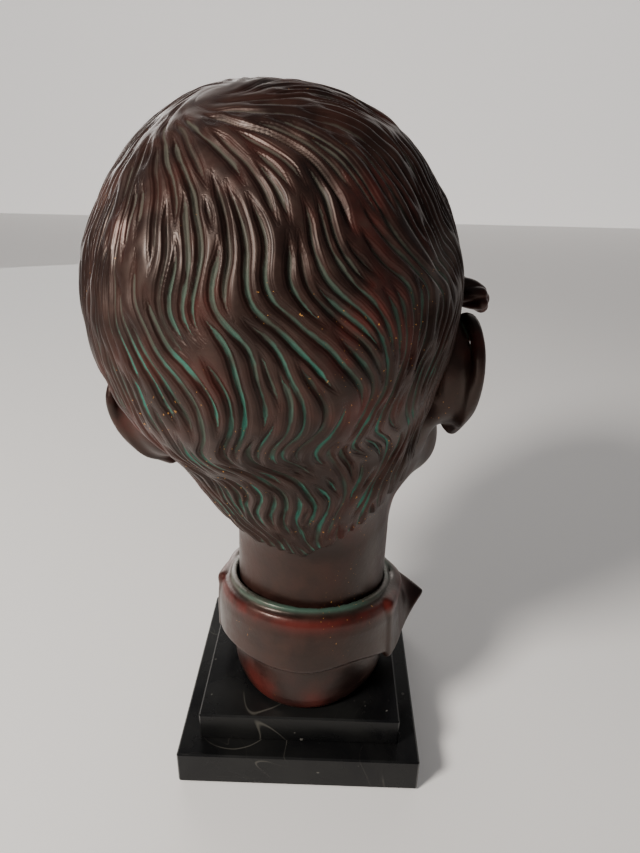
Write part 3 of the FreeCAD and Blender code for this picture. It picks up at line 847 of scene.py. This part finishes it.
class Nodes:
    """A material being built: each method adds a node and returns its output socket."""

    def __init__(self, name):
        self.material = bpy.data.materials.new(name)
        self.material.use_nodes = True
        self.tree = self.material.node_tree
        self.shader = self.tree.nodes["Principled BSDF"]
        self.place = self.add("ShaderNodeTexCoord").outputs["Object"]

    def add(self, kind, **values):
        node = self.tree.nodes.new(kind)
        for key, value in values.items():
            setattr(node, key, value)
        return node

    def feed(self, socket, value):
        if isinstance(value, bpy.types.NodeSocket):
            self.tree.links.new(value, socket)
        else:
            socket.default_value = value

    def noise(self, scale, detail=4.0, roughness=0.55, stretch=None, distortion=0.0):
        """Smooth noise from 0 to 1; scale is in cycles a metre."""
        node = self.add("ShaderNodeTexNoise")
        place = self.place
        if stretch:
            mapping = self.add("ShaderNodeMapping")
            self.feed(mapping.inputs["Vector"], place)
            mapping.inputs["Scale"].default_value = stretch
            place = mapping.outputs["Vector"]
        self.feed(node.inputs["Vector"], place)
        node.inputs["Scale"].default_value = scale
        node.inputs["Detail"].default_value = detail
        node.inputs["Roughness"].default_value = roughness
        node.inputs["Distortion"].default_value = distortion
        return node.outputs["Fac"]

    def ramp(self, value, low, high, start=0.0, end=1.0):
        """Value from low..high mapped smoothly to start..end."""
        node = self.add("ShaderNodeMapRange", interpolation_type="SMOOTHSTEP")
        self.feed(node.inputs["Value"], value)
        node.inputs["From Min"].default_value = low
        node.inputs["From Max"].default_value = high
        node.inputs["To Min"].default_value = start
        node.inputs["To Max"].default_value = end
        return node.outputs["Result"]

    def math(self, operation, a, b=0.0):
        node = self.add("ShaderNodeMath", operation=operation)
        self.feed(node.inputs[0], a)
        self.feed(node.inputs[1], b)
        return node.outputs["Value"]

    def mix(self, factor, a, b):
        """Blend of two colours."""
        node = self.add("ShaderNodeMix", data_type="RGBA")
        self.feed(node.inputs["Factor"], factor)
        for key, value in ((6, a), (7, b)):
            linked = isinstance(value, bpy.types.NodeSocket)
            self.feed(node.inputs[key], value if linked else (*value, 1.0))
        return node.outputs[2]

    def attribute(self, name):
        """A number stored at each point."""
        return self.add("ShaderNodeAttribute", attribute_name=name).outputs["Fac"]

    def pointiness(self):
        return self.add("ShaderNodeNewGeometry").outputs["Pointiness"]

    def along(self, axis):
        """Place along X, Y or Z, in metres."""
        split = self.add("ShaderNodeSeparateXYZ")
        self.feed(split.inputs[0], self.place)
        return split.outputs[axis]

    def bump(self, height, distance, strength=1.0, under=None):
        node = self.add("ShaderNodeBump")
        self.feed(node.inputs["Height"], height)
        node.inputs["Distance"].default_value = distance
        node.inputs["Strength"].default_value = strength
        if under is not None:
            self.feed(node.inputs["Normal"], under)
        return node.outputs["Normal"]

    def set(self, **values):
        for key, value in values.items():
            self.feed(self.shader.inputs[key.replace("_", " ")], value)


DARK_PATINA = (0.013, 0.0060, 0.0050)
BROWN_PATINA = (0.030, 0.0125, 0.0095)
RED_RUB = (0.100, 0.013, 0.010)
# Grey laid on what stands proud: a painted sheen
GREY_PAINTED_SHEEN = (0.050, 0.042, 0.035)
GREY_GREEN = (0.066, 0.068, 0.053)
VERDIGRIS = (0.034, 0.185, 0.136)
GOLD_SPECK = (0.55, 0.26, 0.06)
WARM_SHEEN = (1.0, 0.80, 0.70, 1.0)


def bronze_colour(nodes, hollow, proud, low_down, rubbed_and_painted_highlight=None):
    """Dark patina with red rubs (on the collar also a red band along the roll, partly rubbing and partly
    a painted highlight), a painted grey sheen on what stands proud, and grey to green in hollows.
    """
    broad = nodes.noise(15.0, 3.0)
    middle = nodes.noise(60.0, 4.0, 0.6)
    streak = nodes.noise(34.0, 4.0, 0.6)
    colour = nodes.mix(nodes.ramp(middle, 0.36, 0.68), DARK_PATINA, BROWN_PATINA)
    rubs_and_painted_highlight = nodes.math("MULTIPLY", nodes.ramp(broad, 0.48, 0.72), nodes.ramp(streak, 0.38, 0.66))
    # on the collar, the band along the roll is partly rubbed bronze and partly a painted highlight
    if rubbed_and_painted_highlight is not None:
        worn_and_painted_highlight = nodes.math("MULTIPLY", rubbed_and_painted_highlight, nodes.ramp(streak, 0.40, 0.55, 0.3, 1.0))
        rubs_and_painted_highlight = nodes.math("MAXIMUM", rubs_and_painted_highlight, worn_and_painted_highlight)
    colour = nodes.mix(nodes.math("MULTIPLY", rubs_and_painted_highlight, 0.85), colour, RED_RUB)
    # painted grey sheen on what stands proud
    painted_sheen = nodes.math("MULTIPLY", proud, nodes.ramp(middle, 0.42, 0.72, 0.0, 0.35))
    colour = nodes.mix(painted_sheen, colour, GREY_PAINTED_SHEEN)
    patchy = nodes.ramp(nodes.noise(42.0, 3.0, 0.6), 0.42, 0.60, 0.15, 1.0)
    green = nodes.math("MULTIPLY", nodes.math("MULTIPLY", hollow, patchy), low_down)
    colour = nodes.mix(nodes.math("MULTIPLY", hollow, 0.75), colour, GREY_GREEN)
    colour = nodes.mix(green, colour, VERDIGRIS)
    speck = nodes.math("MULTIPLY", nodes.ramp(nodes.noise(900.0, 1.0), 0.735, 0.76),
                       nodes.ramp(nodes.noise(22.0, 2.0), 0.52, 0.62))
    return nodes.mix(speck, colour, GOLD_SPECK), middle


def hair_bronze():
    """Bronze for the hair: dusty lines in the grooves, greener low on the back, and fine hairs."""
    nodes = Nodes("bronze_hair")
    near, across, depth, dusty = (nodes.attribute(name) for name in ("near", "across", "depth", "dusty"))
    uneven = nodes.ramp(nodes.noise(70.0, 3.0, 0.6), 0.35, 0.65, -0.30, 0.30)
    line = nodes.ramp(nodes.math("ADD", nodes.math("ABSOLUTE", across), uneven), 0.85, 0.20)
    line = nodes.math("MULTIPLY", line, nodes.ramp(near, 1.1, 0.7))
    line = nodes.math("MULTIPLY", line, nodes.ramp(dusty, 0.10, 0.60, 0.20, 1.0))
    low_down = nodes.ramp(nodes.along("Z"), 0.275, 0.205)
    behind = nodes.ramp(nodes.along("Y"), -0.010, 0.025, 0.15, 1.0)
    low_down = nodes.math("MULTIPLY", low_down, behind)
    # what stands proud of the grooves gets the painted grey sheen
    colour, middle = bronze_colour(nodes, line, nodes.ramp(depth, 0.10, 0.0), low_down)
    waver = nodes.math("ADD", nodes.math("MULTIPLY", near, 6.5), nodes.math("MULTIPLY", middle, 8.0))
    strokes = nodes.math("MULTIPLY", nodes.math("SINE", waver), nodes.ramp(near, 3.0, 1.6))
    grain = nodes.math("MULTIPLY", nodes.noise(380.0, 4.0, 0.6), 1.4)
    normal = nodes.bump(nodes.math("ADD", strokes, grain), 0.00010, 0.45)
    normal = nodes.bump(line, 0.0005, -0.6, normal)
    gloss = nodes.ramp(nodes.noise(11.0, 2.0), 0.44, 0.60, 0.0, -0.35)
    rough = nodes.math("ADD", line, nodes.math("ADD", nodes.math("MULTIPLY", middle, 0.6), gloss))
    rough = nodes.ramp(rough, -0.1, 1.0, 0.36, 0.74)
    nodes.set(Base_Color=colour, Roughness=rough, Metallic=0.1, Normal=normal)
    nodes.set(Specular_Tint=WARM_SHEEN, Specular_IOR_Level=0.36)
    nodes.set(Coat_Weight=0.05, Coat_Roughness=0.25)
    return nodes.material


def cast_bronze(name, is_collar=False):
    """Bronze for skin and collar: smooth, with a little green in the creases and a dusty rim."""
    nodes = Nodes(name)
    edge = nodes.pointiness()
    hollow = nodes.ramp(edge, 0.48, 0.42)
    # the collar's red band along the roll, partly rubbed and partly a painted highlight
    rubbed_and_painted_highlight = nodes.attribute("rubbed_and_painted_highlight") if is_collar else None
    if is_collar:
        hollow = nodes.math("MAXIMUM", hollow, nodes.attribute("dust"))
    # convex edges get the painted grey sheen
    colour, middle = bronze_colour(nodes, hollow, nodes.ramp(edge, 0.51, 0.58), 0.3, rubbed_and_painted_highlight)
    normal = nodes.bump(nodes.noise(420.0, 5.0, 0.65), 0.00016, 0.6)
    normal = nodes.bump(middle, 0.0005, 0.5, normal)
    rough = nodes.ramp(middle, 0.3, 0.75, 0.30, 0.48)
    nodes.set(Base_Color=colour, Roughness=rough, Metallic=0.1, Normal=normal)
    nodes.set(Specular_Tint=WARM_SHEEN, Specular_IOR_Level=0.40)
    nodes.set(Coat_Weight=0.08, Coat_Roughness=0.25)
    return nodes.material


def marble_material():
    """Polished black marble with a few thin pale veins and faint grey clouds."""
    nodes = Nodes("black_marble")
    cloud = nodes.noise(18.0, 6.0, 0.6, distortion=0.6)
    colour = nodes.mix(nodes.ramp(cloud, 0.35, 0.75), (0.0035, 0.0035, 0.004), (0.010, 0.010, 0.0095))
    bend = nodes.noise(16.0, 5.0, 0.62)
    for scale, thin, strength in ((7.0, 0.0020, 0.16), (23.0, 0.003, 0.06)):
        field = nodes.noise(scale, 2.0, 0.4, distortion=1.4)
        vein = nodes.math("ABSOLUTE", nodes.math("SUBTRACT", field, 0.5))
        line = nodes.ramp(vein, thin, 0.0)
        broken = nodes.math("MULTIPLY", line, nodes.ramp(bend, 0.50, 0.66))
        colour = nodes.mix(nodes.math("MULTIPLY", broken, strength), colour, (0.33, 0.31, 0.26))
    speck = nodes.ramp(nodes.noise(260.0, 1.0), 0.76, 0.80, 0.0, 0.25)
    colour = nodes.mix(speck, colour, (0.4, 0.38, 0.34))
    rough = nodes.ramp(cloud, 0.3, 0.8, 0.22, 0.36)
    nodes.set(Specular_IOR_Level=0.22)
    nodes.set(Base_Color=colour, Roughness=rough)
    nodes.set(Normal=nodes.bump(nodes.noise(140.0, 4.0), 0.00008, 0.5))
    return nodes.material


def steel_material():
    """Zinc-plated steel with fine turning marks and dull patches."""
    nodes = Nodes("zinc_steel")
    patch = nodes.noise(160.0, 4.0)
    colour = nodes.mix(patch, (0.42, 0.42, 0.40), (0.62, 0.62, 0.60))
    marks = nodes.noise(300.0, 3.0, stretch=(1.0, 1.0, 14.0))
    nodes.set(Base_Color=colour, Metallic=1.0, Roughness=nodes.ramp(patch, 0.3, 0.7, 0.25, 0.5))
    nodes.set(Normal=nodes.bump(marks, 0.00005, 0.5))
    return nodes.material


def fibre_material():
    """Red-brown pressed fibre."""
    nodes = Nodes("fibre")
    fibres = nodes.noise(700.0, 5.0, 0.7, stretch=(1.0, 3.0, 1.0))
    nodes.set(Base_Color=nodes.mix(fibres, (0.16, 0.05, 0.03), (0.34, 0.13, 0.08)), Roughness=0.85)
    nodes.set(Normal=nodes.bump(fibres, 0.0001, 0.6))
    return nodes.material


def felt_material():
    """Dark green baize with a short matted nap."""
    nodes = Nodes("baize")
    nap = nodes.noise(1500.0, 5.0, 0.7)
    worn_and_painted_highlight = nodes.noise(30.0, 3.0)
    colour = nodes.mix(nodes.math("MULTIPLY", nap, worn_and_painted_highlight), (0.010, 0.045, 0.025), (0.05, 0.16, 0.09))
    nodes.set(Base_Color=colour, Roughness=0.95, Sheen_Weight=0.5)
    nodes.set(Normal=nodes.bump(nap, 0.0003, 0.8))
    return nodes.material


def dress_cad_nodes():
    """Better materials for the CAD nodes that stay."""
    marble, steel, fibre, felt = marble_material(), steel_material(), fibre_material(), felt_material()
    choices = {"lower_slab": marble, "upper_slab": marble, "base_gasket": fibre, "felt_sheet": felt}
    for name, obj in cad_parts.items():
        if name not in ("head_casting", "collar_casting"):
            for slot in obj.material_slots:
                slot.material = choices.get(name, steel)


# ---------------------------------------------------------------- the camera, lights and floor

# The camera stands close behind the head; its place in millimetres, its angles in degrees
CAMERA_PLACE = (-10.3, 279.0, 297.8)
CAMERA_PITCH = 24.2
CAMERA_ROLL = 1.3
CAMERA_YAW = -0.8
CAMERA_LENS = 26.95

# The studio, in metres and watts: each light's place, size, power, colour and spread in degrees
LIT_MIDDLE = (0.0, 0.0, 0.18)
KEY_LIGHT = ((0.78, 0.68, 0.92), 0.30, 25.0, (1.0, 0.95, 0.89), 180.0)
FRONT_LIGHT = ((0.6, -1.3, 0.35), 1.2, 1.8, (1.0, 0.98, 0.95), 60.0)
SKY_COLOUR = (0.93, 0.95, 1.0, 1.0)
SKY_STRENGTH = 0.12
FLOOR_SIDE = 3.0
FLOOR_GLOW = 0.08
BACKDROP_Y = -2.4
BACKDROP_TALL = 2.4
BACKDROP_GLOW = 0.62
PALE = (0.83, 0.81, 0.79, 1.0)
GLOW_COLOUR = (1.0, 0.96, 0.93, 1.0)


def add_camera():
    """Standing behind the head, a little above it, looking down."""
    place = np.array(CAMERA_PLACE) * MM
    pitch, roll, yaw = (math.radians(v) for v in (CAMERA_PITCH, CAMERA_ROLL, CAMERA_YAW))
    forward = np.array([-math.sin(yaw) * math.cos(pitch), -math.cos(yaw) * math.cos(pitch),
                        -math.sin(pitch)])
    right = np.array([-math.cos(yaw), math.sin(yaw), 0.0])
    up = np.cross(right, forward)
    across = math.cos(roll) * right + math.sin(roll) * up
    upward = -math.sin(roll) * right + math.cos(roll) * up
    data = bpy.data.cameras.new("camera")
    data.lens = CAMERA_LENS
    data.clip_start = 0.01
    camera = bpy.data.objects.new("camera", data)
    turn = Matrix([list(across), list(upward), list(-forward)]).transposed()
    camera.matrix_world = Matrix.Translation(Vector(place)) @ turn.to_4x4()
    bpy.context.scene.collection.objects.link(camera)
    bpy.context.scene.camera = camera


def add_light(name, place, size, power, colour, spread):
    """A round lamp aimed at the middle of the bust."""
    data = bpy.data.lights.new(name, "AREA")
    data.shape = "DISK"
    data.size = size
    data.energy = power
    data.color = colour
    data.spread = math.radians(spread)
    lamp = bpy.data.objects.new(name, data)
    aim = Vector(LIT_MIDDLE) - Vector(place)
    turn = aim.to_track_quat("-Z", "Y").to_matrix()
    lamp.matrix_world = Matrix.Translation(Vector(place)) @ turn.to_4x4()
    bpy.context.scene.collection.objects.link(lamp)


def add_studio():
    world = bpy.data.worlds.new("studio")
    world.use_nodes = True
    world.node_tree.nodes["Background"].inputs["Color"].default_value = SKY_COLOUR
    world.node_tree.nodes["Background"].inputs["Strength"].default_value = SKY_STRENGTH
    bpy.context.scene.world = world
    add_light("key", *KEY_LIGHT)
    add_light("front", *FRONT_LIGHT)


def add_floor():
    """A pale floor, and far behind the object a pale backdrop with a glow of its own."""
    side, back, tall = FLOOR_SIDE, BACKDROP_Y, BACKDROP_TALL
    ground = [(-side, back, 0), (side, back, 0), (side, side, 0), (-side, side, 0)]
    wall = [(-side, back, 0), (-side, back, tall), (side, back, tall), (side, back, 0)]
    for name, corners, glow in (("floor", ground, FLOOR_GLOW), ("backdrop", wall, BACKDROP_GLOW)):
        mesh = bpy.data.meshes.new(name)
        mesh.from_pydata(corners, [], [(0, 1, 2, 3)])
        sheet = bpy.data.objects.new(name, mesh)
        bpy.context.scene.collection.objects.link(sheet)
        material = bpy.data.materials.new(name)
        material.use_nodes = True
        shader = material.node_tree.nodes["Principled BSDF"]
        shader.inputs["Base Color"].default_value = PALE
        shader.inputs["Roughness"].default_value = 0.6
        shader.inputs["Emission Color"].default_value = GLOW_COLOUR
        shader.inputs["Emission Strength"].default_value = glow
        mesh.materials.append(material)


# ---------------------------------------------------------------- putting it together

def wear_and_ride(obj, material, node):
    obj.data.materials.append(material)
    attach(obj, "bust")
    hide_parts(node)


def main():
    add_camera()
    add_studio()
    add_floor()
    dress_cad_nodes()
    smooth_bronze = cast_bronze("bronze_skin")
    wear_and_ride(sculpt_skin(), smooth_bronze, "head_casting")
    wear_and_ride(sculpt_hair(), hair_bronze(), "head_casting")
    wear_and_ride(sculpt_lock(), smooth_bronze, "head_casting")
    wear_and_ride(sculpt_collar(), cast_bronze("bronze_collar", True), "collar_casting")


main()
